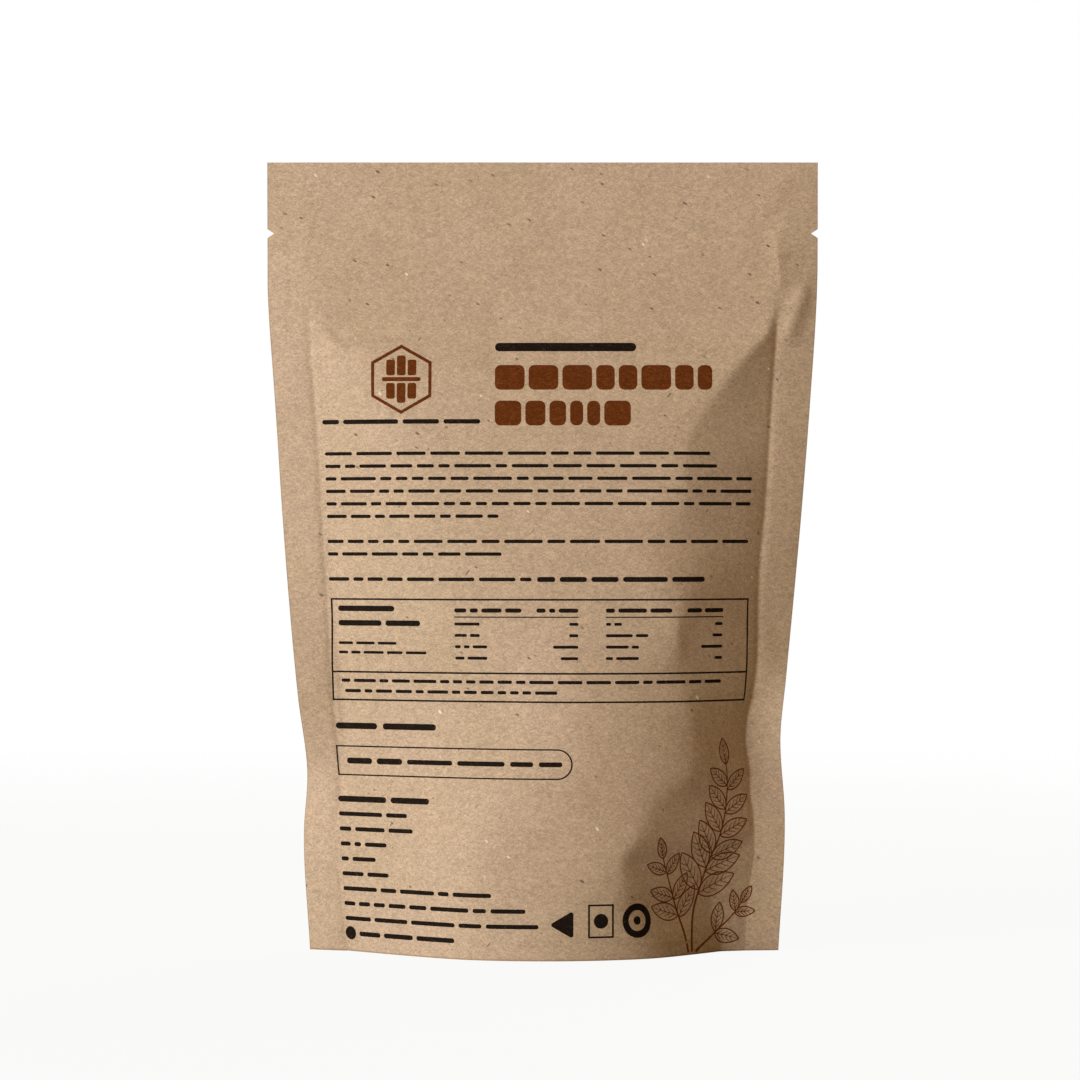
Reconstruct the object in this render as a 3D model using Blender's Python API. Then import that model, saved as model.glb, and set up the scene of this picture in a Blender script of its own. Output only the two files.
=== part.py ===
"""Filled stand-up pouch of brown kraft paper, sealed shut.

The shown side faces -Y, the pouch stands on the floor at Z = 0, and the origin
is the middle of its foot. All sizes are in metres.
"""

import math

import bmesh
import bpy

# ---- driving dimensions ------------------------------------------------------
HEIGHT = 0.229            # standing height, foot to top edge
HALF_WIDTH = 0.080        # half of the flat width along the top
BASE_DEPTH = 0.058        # front to back across the opened foot
FILL_HEIGHT = 0.186       # where front and back come together above the contents
FILL_POWER = 0.66         # 1 is a straight wedge, less makes the belly fuller
FILL_FADE = 0.03          # softness of that line, as a share of the height

PLY = 0.00018             # one layer of laminated paper
SEAL_WIDTH = 0.0105       # sealed strip down each side
SEAL_CURL = 0.0018        # how far the cut side edges lean back
TOP_SEAL = 0.014          # height of the sealed strip along the top

# half-widths of the standing pouch at a few heights: (height, half-width)
LEFT_SIDE = (
    (0.000, 0.0678), (0.035, 0.0696), (0.052, 0.0686), (0.074, 0.0711),
    (0.108, 0.0743), (0.160, 0.0779), (0.190, 0.0799), (HEIGHT, HALF_WIDTH),
)
RIGHT_SIDE = (
    (0.000, 0.0686), (0.040, 0.0704), (0.063, 0.0691), (0.080, 0.0709),
    (0.108, 0.0737), (0.160, 0.0779), (0.190, 0.0798), (HEIGHT, HALF_WIDTH),
)

LEFT_ROUNDNESS = 2.2      # 2 is a round section, more is flatter with a steeper flank
RIGHT_ROUNDNESS = 3.0
FOOT_ROUNDNESS = 2.4      # both flanks at floor level
FOOT_EASE = 1.25          # over 1, the flank starts gently at the sealed corner
CORNER_HEIGHT = 0.050     # flat sealed corners beside the foot end at this height
LEFT_CORNER = 0.0015      # extra flat width of each corner at floor level
RIGHT_CORNER = 0.0080

NOTCH_DROP = 0.0206       # tear notches, below the top edge
NOTCH_DEPTH = 0.0020
NOTCH_HEIGHT = 0.0026
NOTCH_ROUND = 0.0004

SKIRT = 0.0008            # rim that the gusset leaves round the foot
SKIRT_HEIGHT = 0.0040     # where the gusset leaves the rim, at the middle
GUSSET_SAG = 0.0012       # how far the gusset would hang under the floor if free
GUSSET_BOW = 3.0          # flat in the middle, steep close to the rim
GUSSET_TENT = 0.0150      # rise of the gusset at its two ends
TENT_START = 0.60         # where the rise starts, as a share of the half-length
TENT_END = 0.93           # where the hollow ends
FLOOR_CLEARANCE = 0.003   # how far the hollow's cutter reaches under the floor

# ---- mesh density ------------------------------------------------------------
FILM_COLUMNS = 34         # across the filled width
SEAL_COLUMNS = 2          # across each side seal
ROWS = 42                 # floor to top edge
HOLLOW_COLUMNS = 24       # along the gusset
HOLLOW_DEPTH_PARTS = 10   # front to back
HOLLOW_LAYERS = 8         # floor to gusset

KRAFT = (0.51, 0.34, 0.21, 1.0)


def smooth(value):
    """Ease from 0 to 1 with level ends."""
    value = min(1.0, max(0.0, value))
    return value * value * (3.0 - 2.0 * value)


def curve_through(stations, z):
    """Height on a smooth curve through (z, value) stations."""
    last = len(stations) - 2
    index = next((i for i in range(last) if z < stations[i + 1][0]), last)

    def tangent(i):
        before, after = max(i - 1, 0), min(i + 1, len(stations) - 1)
        run = stations[after][0] - stations[before][0]
        return (stations[after][1] - stations[before][1]) / run

    (z0, v0), (z1, v1) = stations[index], stations[index + 1]
    span = z1 - z0
    t = (z - z0) / span
    bend = (v0 - v1 + tangent(index) * span) * (1.0 - t)
    bend += (v1 - v0 - tangent(index + 1) * span) * t
    return v0 + t * (v1 - v0) + t * (1.0 - t) * bend


def half_width(side, z):
    """Distance from the middle to the cut edge, on side -1 (left) or 1 (right)."""
    return min(HALF_WIDTH, curve_through(LEFT_SIDE if side < 0 else RIGHT_SIDE, z))


def filled_width(side, z):
    """Distance from the middle to where the bulge starts."""
    corner = LEFT_CORNER if side < 0 else RIGHT_CORNER
    tuck = corner * max(0.0, 1.0 - z / CORNER_HEIGHT) ** 2
    return half_width(side, z) - SEAL_WIDTH - tuck


def centre_depth(z):
    """Half-depth of the filled body on the centre line: a wedge that fades into the head."""
    rise = 1.0 - z / FILL_HEIGHT
    wedge = (rise + math.hypot(rise, FILL_FADE)) / (1.0 + math.hypot(1.0, FILL_FADE))
    under_top = smooth((HEIGHT - TOP_SEAL - z) / TOP_SEAL)
    return (BASE_DEPTH / 2.0 - PLY) * wedge ** FILL_POWER * under_top


def bulge(x, z, roundness):
    """Half-depth of the filled body at one side's point."""
    side = -1 if x < 0.0 else 1
    share = min(1.0, abs(x) / filled_width(side, z))
    above_foot = smooth(z / CORNER_HEIGHT)
    power = FOOT_ROUNDNESS + (roundness - FOOT_ROUNDNESS) * above_foot
    ease = FOOT_EASE + (1.0 - FOOT_EASE) * above_foot
    return centre_depth(z) * (1.0 - share ** power) ** ease


def front_bulge(x, z):
    return bulge(x, z, LEFT_ROUNDNESS if x < 0.0 else RIGHT_ROUNDNESS)


def back_bulge(x, z):
    return bulge(x, z, LEFT_ROUNDNESS)


def middle(x, z):
    """Where the two side seals lie: they lean back below the head."""
    side = -1 if x < 0.0 else 1
    out = max(0.0, abs(x) - half_width(side, z) + SEAL_WIDTH) / SEAL_WIDTH
    head = smooth((HEIGHT - z) / (HEIGHT - FILL_HEIGHT))
    foot = smooth(z / SEAL_WIDTH)
    return SEAL_CURL * out ** 1.3 * head * foot


def front_y(x, z):
    return middle(x, z) - PLY - front_bulge(x, z)


def back_y(x, z):
    return middle(x, z) + PLY + back_bulge(x, z)


def box_grid(*parts):
    """Cube from -1 to 1 whose faces are divided into so many parts along X, Y and Z."""
    bm = bmesh.new()
    bmesh.ops.create_cube(bm, size=2.0)
    for axis, count in enumerate(parts):
        along = [
            edge for edge in bm.edges
            if abs(edge.verts[0].co[axis] - edge.verts[1].co[axis]) > 1.0
        ]
        if count > 1:
            bmesh.ops.subdivide_edges(bm, edges=along, cuts=count - 1, use_grid_fill=True)
    return bm


def across(u, z):
    """X of a grid column, with one column exactly on each side seal's inner edge."""
    side = -1 if u < 0.0 else 1
    edge = FILM_COLUMNS / (FILM_COLUMNS + 2.0 * SEAL_COLUMNS)
    inner = half_width(side, z) - SEAL_WIDTH
    if abs(u) <= edge:
        return side * inner * abs(u) / edge
    return side * (inner + SEAL_WIDTH * (abs(u) - edge) / (1.0 - edge))


def add_object(name, bm, collection):
    mesh = bpy.data.meshes.new(name)
    bm.to_mesh(mesh)
    bm.free()
    item = bpy.data.objects.new(name, mesh)
    collection.objects.link(item)
    return item


def make_pouch(collection):
    bm = box_grid(FILM_COLUMNS + 2 * SEAL_COLUMNS, 1, ROWS)
    for vert in bm.verts:
        u, w, t = vert.co
        z = HEIGHT * (t + 1.0) / 2.0
        x = across(u, z)
        vert.co = (x, front_y(x, z) if w < 0.0 else back_y(x, z), z)
    pouch = add_object("pouch", bm, collection)
    pouch.data.shade_smooth()
    pouch.data.set_sharp_from_angle(angle=math.radians(35.0))
    return pouch


def make_notch(side, collection):
    """Diamond bar across one side seal, centred on the cut edge."""
    height = HEIGHT - NOTCH_DROP
    bm = bmesh.new()
    bmesh.ops.create_cone(
        bm, cap_ends=True, segments=4, radius1=1.0, radius2=1.0, depth=8.0 * SEAL_CURL)
    long_edges = [
        edge for edge in bm.edges
        if abs(edge.verts[0].co.z - edge.verts[1].co.z) > SEAL_CURL
    ]
    bmesh.ops.bevel(
        bm, geom=long_edges, affect='EDGES', segments=3, profile=0.5, material=-1,
        offset=NOTCH_ROUND / NOTCH_DEPTH)
    reach = max(abs(vert.co.x) for vert in bm.verts)
    for vert in bm.verts:
        across_bar, up_bar, along_bar = vert.co
        vert.co = (
            side * half_width(side, height) + across_bar / reach * NOTCH_DEPTH,
            -along_bar,
            height + up_bar / reach * NOTCH_HEIGHT / 2.0)
    return add_object("notch_left" if side < 0 else "notch_right", bm, collection)


def gusset_height(share_x, share_y):
    """Underside of the gusset: on the floor in the middle, raised at rim and ends."""
    rim = (SKIRT_HEIGHT + GUSSET_SAG) * abs(share_y) ** GUSSET_BOW - GUSSET_SAG
    end = max(0.0, abs(share_x) - TENT_START) / (TENT_END - TENT_START)
    return rim + GUSSET_TENT * end ** 1.5 * (1.0 - 0.4 * share_y * share_y)


def make_hollow(collection):
    """Space under the gusset, bounded by the rim of the foot."""
    bm = box_grid(HOLLOW_COLUMNS, HOLLOW_DEPTH_PARTS, HOLLOW_LAYERS)
    for vert in bm.verts:
        u, w, t = vert.co
        side = -1 if u < 0.0 else 1
        x = u * TENT_END * filled_width(side, 0.0)
        top = gusset_height(u * TENT_END, w)
        z = (top + FLOOR_CLEARANCE) * (t + 1.0) / 2.0 - FLOOR_CLEARANCE
        face = front_y(x, max(z, 0.0)) if w < 0.0 else back_y(x, max(z, 0.0))
        wall = math.copysign(SKIRT, face)
        vert.co = (x, abs(w) * (face - wall), z)
    return add_object("gusset_hollow", bm, collection)


def cut(item, cutter):
    cutter.hide_render = True
    cutter.display_type = 'WIRE'
    boolean = item.modifiers.new(cutter.name, 'BOOLEAN')
    boolean.operation = 'DIFFERENCE'
    boolean.solver = 'EXACT'
    boolean.object = cutter


def kraft_paper():
    material = bpy.data.materials.new("kraft_paper")
    material.use_nodes = True
    shader = material.node_tree.nodes["Principled BSDF"]
    shader.inputs["Base Color"].default_value = KRAFT
    shader.inputs["Roughness"].default_value = 0.85
    shader.inputs["Metallic"].default_value = 0.0
    return material


def new_collection(name):
    collection = bpy.data.collections.new(name)
    bpy.context.scene.collection.children.link(collection)
    return collection


def main():
    for item in list(bpy.data.objects):
        bpy.data.objects.remove(item)
    parts = new_collection("kraft_pouch")
    cutters = new_collection("cutters")

    pouch = make_pouch(parts)
    pouch.data.materials.append(kraft_paper())
    cut(pouch, make_notch(-1, cutters))
    cut(pouch, make_notch(1, cutters))
    cut(pouch, make_hollow(cutters))


main()
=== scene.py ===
"""Looks of a filled, sealed stand-up pouch of brown kraft paper with a plain generic print.

The printed side faces -Y, the pouch stands on the floor at Z = 0, and the origin is the
middle of its foot. All sizes are in metres unless a table says millimetres.
"""

import math
import random
from collections import namedtuple

import bmesh
import bpy
import numpy as np
from bpy.props import FloatProperty, FloatVectorProperty, IntProperty, PointerProperty
from mathutils import Matrix, Vector


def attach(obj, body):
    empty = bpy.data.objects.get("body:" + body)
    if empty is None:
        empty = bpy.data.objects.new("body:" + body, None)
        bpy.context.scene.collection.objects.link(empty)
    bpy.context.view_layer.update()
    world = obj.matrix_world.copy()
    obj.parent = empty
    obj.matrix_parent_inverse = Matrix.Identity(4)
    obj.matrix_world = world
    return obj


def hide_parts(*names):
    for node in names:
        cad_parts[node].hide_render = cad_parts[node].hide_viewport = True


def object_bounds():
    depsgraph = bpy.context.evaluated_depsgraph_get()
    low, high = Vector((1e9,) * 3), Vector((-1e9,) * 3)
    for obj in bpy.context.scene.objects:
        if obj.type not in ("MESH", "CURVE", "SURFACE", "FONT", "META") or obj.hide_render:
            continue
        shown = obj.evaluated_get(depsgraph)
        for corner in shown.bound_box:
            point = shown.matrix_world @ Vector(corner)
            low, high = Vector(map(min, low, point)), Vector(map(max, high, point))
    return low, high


bl_info = {
    "name": "Kraft Paper Pouch",
    "version": (1, 0, 0),
    "blender": (4, 5, 0),
    "location": "View3D > Sidebar > Kraft Pouch",
    "description": "Builds a filled kraft paper stand-up pouch with a plain print",
    "category": "Add Mesh",
}

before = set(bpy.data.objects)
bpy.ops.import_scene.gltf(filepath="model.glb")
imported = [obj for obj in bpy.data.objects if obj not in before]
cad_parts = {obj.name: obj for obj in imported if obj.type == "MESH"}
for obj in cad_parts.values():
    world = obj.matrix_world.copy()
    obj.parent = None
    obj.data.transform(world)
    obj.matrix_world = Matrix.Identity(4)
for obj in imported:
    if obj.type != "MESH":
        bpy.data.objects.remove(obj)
CAD_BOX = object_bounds()

MM = 0.001
NODE = "pouch"

# ---- form of the filled pouch: tables of (height, value), lengths in millimetres ----

# distance from the middle to the cut edge
LEFT_SIDE = (
    (0, 67.8), (35, 69.6), (52, 68.6), (74, 71.1), (108, 74.3), (160, 77.9), (190, 79.9),
    (229, 80))
RIGHT_SIDE = (
    (0, 68.6), (40, 70.4), (63, 69.1), (80, 70.9), (108, 73.7), (160, 77.9), (190, 79.8),
    (229, 80))

# width of each side seal
LEFT_SEAL = ((0, 9.8), (64, 9.8), (100, 11.0), (180, 11.5), (229, 11.0))
RIGHT_SEAL = (
    (0, 9.8), (18, 9.7), (28, 8.8), (36, 8.9), (45, 9.7), (54, 9.4), (61, 10.2), (67, 10.1),
    (78, 8.8), (90, 9.3), (101, 10.3), (129, 10.7), (180, 11.3), (229, 11.0))

# half-depth on the middle line, as a share of the foot's
CENTRE = (
    (0, 1), (30, .889), (60, .771), (96, .625), (125, .490), (150, .360), (165, .243),
    (172.5, .168), (178, .081), (182.5, .035), (188, .016), (200, .010), (215, .004), (229, 0))

# One side of one paper is a nearly flat face that a steep wall joins to the side seal.
# slope: depth gained for each millimetre walked in from the seal, and belly, the share
# more that it gains beside the seal. crown: share of the depth that the face has lost at
# its edge, and arch, the power of that fall. rounding: radius between face and wall.
# corner: slope of the sealed corner beside the foot, and tuck, the width it takes from
# the wall. ridge: height of the line pressed where face and wall meet.
Flank = namedtuple("Flank", "slope rounding belly crown arch tuck corner ridge")

FRONT_LEFT = Flank(
    slope=(
        (0, .80), (14, .68), (30, .60), (50, .52), (67, .46), (80, .46), (102, .50), (125, .46),
        (150, .41), (165, .37), (173, .32), (183, .36), (190, .34), (200, .08), (229, .05)),
    rounding=(
        (0, 5), (30, 1.6), (50, 5), (70, 9), (96, 7), (150, 4), (170, 1.4), (190, .5),
        (229, .5)),
    belly=((0, .15), (50, .15), (67, .35), (100, .15), (190, .10)),
    crown=((0, .6), (30, .6), (60, .45), (100, .40), (130, .20), (190, .12)),
    arch=((0, 2), (229, 2)), tuck=((0, 1.0), (30, 0)), corner=((0, .05), (45, 0)), ridge=0.0)
FRONT_RIGHT = Flank(
    slope=(
        (0, 1.05), (6, .90), (13, .79), (20, .735), (30, .665), (38, .66), (45, .70), (50, .78),
        (56, .84), (67, .83), (73, .74), (78, .65), (90, .64), (101, .65), (113, .57), (122, .51),
        (129, .50), (150, .41), (165, .44), (172, .48), (186, .54), (200, .08), (229, .05)),
    rounding=(
        (0, 4), (6, 3), (13, 2), (20, 1.2), (30, .6), (38, 1.3), (45, 1.5), (52, .8), (70, .6),
        (78, .8), (90, 1.5), (101, 1.0), (113, 4), (129, 3), (150, 2.5), (170, 1.0), (190, .5),
        (229, .5)),
    belly=(
        (0, .10), (30, .20), (45, .20), (60, .25), (101, .15), (122, .35), (150, .25), (170, .10),
        (190, 0)),
    crown=(
        (0, .65), (13, .70), (20, .66), (30, .48), (38, .68), (45, .78), (52, .84), (60, .86),
        (67, .85), (73, .88), (78, 1.0), (90, .62), (101, .60), (113, .42), (129, .34), (150, .22),
        (190, .14)),
    arch=((0, 2), (38, 2.2), (50, 2.3), (58, 2.6), (78, 2.8), (100, 3), (150, 2.5), (229, 2)),
    tuck=((0, 5.0), (6, 4.8), (13, 5.4), (19, 4.3), (27, 3.4), (33, .6), (38, 0), (50, 0)),
    corner=((0, .30), (6, .36), (13, .42), (19, .44), (27, .45), (38, .30), (50, 0)),
    ridge=0.5)
BACK_LEFT = Flank(
    slope=(
        (0, .90), (30, .70), (60, .62), (96, .58), (125, .50), (150, .43), (173, .36), (186, .36),
        (200, .08), (229, .05)),
    rounding=((0, 6), (30, 4), (60, 7), (96, 7), (150, 3), (170, 1.4), (190, .5), (229, .5)),
    belly=((0, .15), (190, .15)),
    crown=((0, .4), (60, .35), (100, .30), (190, .12)),
    arch=((0, 2), (229, 2)), tuck=((0, 5.0), (20, 3.5), (30, 1.5), (38, 0), (50, 0)),
    corner=((0, .30), (20, .35), (30, .25), (38, 0), (50, 0)), ridge=0.4)
BACK_RIGHT = Flank(
    slope=(
        (0, .92), (30, .68), (60, .60), (96, .58), (125, .50), (150, .42), (173, .34), (186, .36),
        (200, .08), (229, .05)),
    rounding=((0, 6), (30, 3), (60, 6), (96, 8), (150, 3), (170, 1.4), (190, .5), (229, .5)),
    belly=((0, .15), (190, .15)),
    crown=((0, .5), (60, .40), (100, .30), (190, .12)),
    arch=((0, 2), (229, 2)), tuck=((0, 4.0), (20, 2.5), (28, 1.0), (35, 0), (50, 0)),
    corner=((0, .25), (20, .30), (28, .20), (35, 0), (50, 0)), ridge=0.3)
FRONT = (FRONT_LEFT, FRONT_RIGHT)
BACK = (BACK_LEFT, BACK_RIGHT)

# how far the cut edge of each side seal leans back
LEFT_LEAN = (
    (0, 3.4), (30, 4.4), (50, 4.0), (56, 2.4), (62, 1.0), (85, .1), (110, 1.4), (150, 1.6),
    (200, 1.1), (229, 0))
RIGHT_LEAN = (
    (0, 1.0), (15, .4), (45, .3), (58, -.7), (72, -.6), (85, 1.6), (112, 2.8), (150, 1.8),
    (185, 1.6), (215, .6), (229, 0))

# single lengths of the form, in millimetres
BELLY_REACH = 9.0  # how far in from the seal a wall's belly reaches
SIDE_BLEND = 24.0  # width over which the left half passes into the right half
CORNER_REACH = 16.0  # width of the sealed corners beside the foot
CORNER_ROUND = 0.3  # how softly the corners pass into the body
RIDGE_LOW = 110.0  # the pressed ridges start at this height
RIDGE_RISE = 45.0  # and are complete this far above it
RIDGE_FACE = 4.0  # reach of a ridge into the face
RIDGE_WALL = 1.5  # and into the wall
GROOVE_LOW = 20.0  # the grooves along the seals start at this height
GROOVE_RISE = 30.0  # and are complete this far above it
PRESSED_HIGH = 188.0  # ridges and grooves have faded out at this height
PRESSED_FADE = 12.0  # over this height below it
RIPPLE_SHORT = 13.0  # the shortest of the paper's faint waves
RIPPLE_LONG = 46.0  # and the longest
RIPPLE_RISE = 20.0  # height over which the foot holds the waves back
BACK_MEETS = 3.0  # depth of the back from which its waves are its own

RIPPLES = 14  # number of waves
RIPPLE_SHARE = 0.0012  # height of a wave as a share of its length
LEAN_POWER = 1.2  # 1 is a flat seal that leans back, more is a curled one

# underside, in metres or as shares of the foot's half-length and half-depth
GUSSET_PARTS = 16  # mesh parts of the foot from front to back
GUSSET_SHARE = 0.75  # share of them that is the gusset; the rest is the rim
GUSSET_SAG = 0.0012  # how far the gusset would hang under the floor if free
GUSSET_BOW = 3.0  # flat in the middle, steep close to the rim
TENT_START = 0.60  # where the gusset starts to rise towards its ends
TENT_END = 0.93  # where it ends
TENT_POWER = 1.5
TENT_ROUND = 0.4  # share of the rise that is missing at the rim
CREASE = 0.0006  # height of the fold along the gusset's middle
CREASE_REACH = 0.05

# the mesh starts as a box from -1 to 1
BOX_SLACK = 0.001  # this near a side of the box, a vertex lies on it
CROWDING = 0.6  # how much closer together columns lie along the seals

# single folds: start and end (x, z), height, reach to the left and to the right in
# millimetres, and the shares of the length over which the ends fade
Fold = namedtuple("Fold", "start end height left right fade_in fade_out")
FRONT_FOLDS = (
    # pinched tip of the left flank
    Fold((-67.5, 183.3), (-56, 174.8), 0.42, 2, 3, 0.35, 0.6),
    Fold((-68.5, 184.8), (-49, 169.6), -0.36, 1.5, 4.5, 0.15, 0.5),
    Fold((-74, 187), (-68, 184), 0.22, 2, 3, 0.4, 0.4),
    # facets of the right shoulder
    Fold((67, 213), (70, 188), 0.50, 6, 8, 0.45, 0.3),
    Fold((77.5, 196), (69.5, 174), 1.35, 5, 5, 0.3, 0.4),
    # soft drag lines from the corners
    Fold((-76, 225), (-26, 196), -0.30, 11, 11, 0.3, 0.4),
    Fold((78, 222), (60, 206), -0.35, 9, 9, 0.3, 0.4),
    # gutter beside the middle
    Fold((-14, 193), (-14, 150), -0.40, 9, 9, 0.35, 0.5),
    # knock from a stick inside
    Fold((38.5, 101), (39.5, 82), 0.45, 7, 4.5, 0.4, 0.4),
)
BACK_FOLDS = (
    Fold((-70, 188), (-46, 160), -0.45, 8, 6, 0.3, 0.5),
    Fold((72, 186), (40, 168), -0.40, 6, 9, 0.3, 0.5),
    Fold((-60, 220), (-20, 198), -0.30, 10, 10, 0.3, 0.4),
    Fold((22, 196), (16, 150), -0.45, 9, 9, 0.35, 0.5),
    Fold((-32, 120), (-30, 92), 0.55, 6, 7, 0.4, 0.4),
)

# ---- print: positions along the flat paper from its middle line, in millimetres ----
TEXT_LEFT = -64.8
TITLE_LEFT = -13.8
WORD_SHARES = (0.5, 0.75, 1.0, 1.25, 1.6)  # word lengths as shares of the usual one
BLOCK_LENGTHS = (4.4, 5.6, 6.8, 9.0)
BLOCK_GAP = 1.2
BLOCK_ROUND = 1.6
BAR_ROUND = 0.48  # corner radius as a share of a bar's height
SHARPEST = 0.4  # keeps the sharp corners of a line from growing spikes
SHEET_HALF = 84.0  # the flat sheet is measured a little past its cut edges
SHEET_STEP = 0.5

# widths of the leaf drawing's lines
STEM = 0.8
MARGIN = 0.38
MIDRIB = 0.32
VEIN = 0.26
STEM_STEPS = 24  # points along a stem
LAST_PAIR = 0.90  # where along it the last pair of leaves sits
LEAF_WIDTH = 0.46  # as a share of its length


def length_prop(name, description, default):
    """Property for a length in metres."""
    return FloatProperty(name=name, description=description, default=default, unit='LENGTH')


def angle_prop(name, description, degrees):
    """Property for an angle."""
    return FloatProperty(
        name=name, description=description, default=math.radians(degrees), subtype='ANGLE')


def power_prop(name, description, default):
    """Property for a light's power."""
    return FloatProperty(name=name, description=description, default=default, subtype='POWER')


def count_prop(name, description, default):
    """Property for a whole number."""
    return IntProperty(name=name, description=description, default=default)


def colour_prop(name, description, default):
    """Property for a colour, with or without its alpha."""
    return FloatVectorProperty(
        name=name, description=description, default=default, size=len(default),
        subtype='COLOR', min=0.0, max=1.0)


class PouchSizes(bpy.types.PropertyGroup):
    """Sizes of the pouch; the outer ones come from the frame."""

    height: length_prop("Height", "Standing height, foot to top edge", CAD_BOX[1].z)
    base_depth: length_prop(
        "Base Depth", "Front to back across the opened foot", CAD_BOX[1].y - CAD_BOX[0].y)
    ply: length_prop("Ply", "One layer of laminated paper", 0.00018)
    notch_drop: length_prop("Notch Drop", "Tear notches, below the top edge", 0.0206)
    notch_depth: length_prop("Notch Depth", "How far the tear notches cut in", 0.0020)
    notch_height: length_prop(
        "Notch Height", "Opening of the tear notches at the edge", 0.0026)
    skirt: length_prop("Skirt", "Rim that the gusset leaves round the foot", 0.0005)
    skirt_height: length_prop("Skirt Height", "Where the gusset leaves the rim", 0.0040)
    gusset_tent: length_prop("Gusset Tent", "Rise of the gusset at its two ends", 0.0150)
    groove: length_prop("Groove", "Depth of the line pressed along each side seal", 0.00024)
    groove_width: length_prop("Groove Width", "Half-width of that line", 0.0008)
    film_columns: count_prop("Film Columns", "Mesh columns across the filled width", 170)
    seal_columns: count_prop("Seal Columns", "Mesh columns across each side seal", 12)
    notch_rows: count_prop("Notch Rows", "Mesh rows over each tear notch", 16)
    rows: count_prop("Rows", "Mesh rows from the floor to the top edge", 224)
    seed: count_prop("Seed", "Pattern of the faint ripples in the paper", 7)


class PrintSizes(bpy.types.PropertyGroup):
    """Sizes that all the printed marks share."""

    ink_rise: length_prop("Ink Rise", "How far the ink stands proud of the paper", 0.00004)
    ink_sink: length_prop("Ink Sink", "How far the ink reaches into the paper", 0.00003)
    follow_x: length_prop(
        "Follow Across", "Marks are cut this often across to follow the paper", 0.0010)
    follow_z: length_prop(
        "Follow Up", "Marks are cut this often upwards to follow the paper", 0.0015)
    seed: count_prop("Seed", "Rhythm of the word bars", 11)


class PouchColours(bpy.types.PropertyGroup):
    """Colours of the paper and the inks."""

    kraft: colour_prop("Kraft", "Brown kraft paper", (0.485, 0.337, 0.222, 1.0))
    kraft_ochre: colour_prop(
        "Kraft, Ochre", "Yellower clouds in the paper", (0.478, 0.338, 0.209, 1.0))
    shive: colour_prop("Shive", "Dark specks of bark in the paper", (0.120, 0.065, 0.032, 1.0))
    lint: colour_prop("Lint", "Pale specks in the paper", (0.78, 0.68, 0.55, 1.0))
    # edge also paints a painted shade line along the foot, where the pouch stands on the floor
    edge: colour_prop("Edge", "Cut edges of the paper", (0.240, 0.140, 0.070, 1.0))
    black_ink: colour_prop("Black Ink", "Text and frames", (0.011, 0.0065, 0.004, 1.0))
    brown_ink: colour_prop("Brown Ink", "Title and emblem", (0.108, 0.026, 0.004, 1.0))
    line_ink: colour_prop(
        "Line Ink", "Thin lines of the leaf drawing", (0.150, 0.045, 0.010, 1.0))


class StageSettings(bpy.types.PropertyGroup):
    """Camera, lights and room."""

    camera_distance: length_prop("Camera Distance", "From the pouch's middle plane", 1.1)
    camera_height: length_prop("Camera Height", "Above the floor", 0.1193)
    camera_offset: length_prop(
        "Camera Offset", "Sideways from the pouch's middle", -0.00075)
    view_width: length_prop(
        "View Width", "Width of the picture at the pouch's middle plane", 0.3139)
    key_azimuth: angle_prop("Key Azimuth", "Key light, to the left of the camera", 51.0)
    key_elevation: angle_prop("Key Elevation", "Key light, above the horizon", 12.0)
    key_distance: length_prop("Key Distance", "Key light, from the pouch", 1.4)
    key_size: length_prop("Key Size", "Key light, side of its square", 0.6)
    key_power: power_prop("Key Power", "Key light, in watts", 24.5)
    back_size: length_prop("Back Size", "Soft light behind the pouch, side of its square", 0.8)
    back_power: power_prop("Back Power", "Soft light behind the pouch, in watts", 14.0)
    fill: colour_prop("Fill", "Light from all round the room", (0.318, 0.209, 0.088))


def smooth(value):
    """Ease from 0 to 1 with level ends."""
    value = np.clip(value, 0.0, 1.0)
    return value * value * (3.0 - 2.0 * value)


def stations(table, z):
    """Value at height z on a smooth curve through (height, value) stations in millimetres."""
    heights = np.array([row[0] for row in table]) * MM
    values = np.array([row[1] for row in table], float)
    if len(table) < 3:
        return np.interp(z, heights, values)
    tangents = np.gradient(values, heights)
    index = np.clip(np.searchsorted(heights, z, side='right') - 1, 0, len(heights) - 2)
    span = heights[index + 1] - heights[index]
    rise = values[index + 1] - values[index]
    t = np.clip((z - heights[index]) / span, 0.0, 1.0)
    bend = (tangents[index] * span - rise) * (1.0 - t) + (rise - tangents[index + 1] * span) * t
    return values[index] + t * rise + t * (1.0 - t) * bend


def soft_lower(a, b, radius):
    """The lower of two surfaces, rounded where they meet."""
    return (a + b - np.hypot(a - b, radius)) / 2.0


def soft_upper(a, b, radius):
    """The upper of two surfaces, rounded where they meet."""
    return (a + b + np.hypot(a - b, radius)) / 2.0


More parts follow.
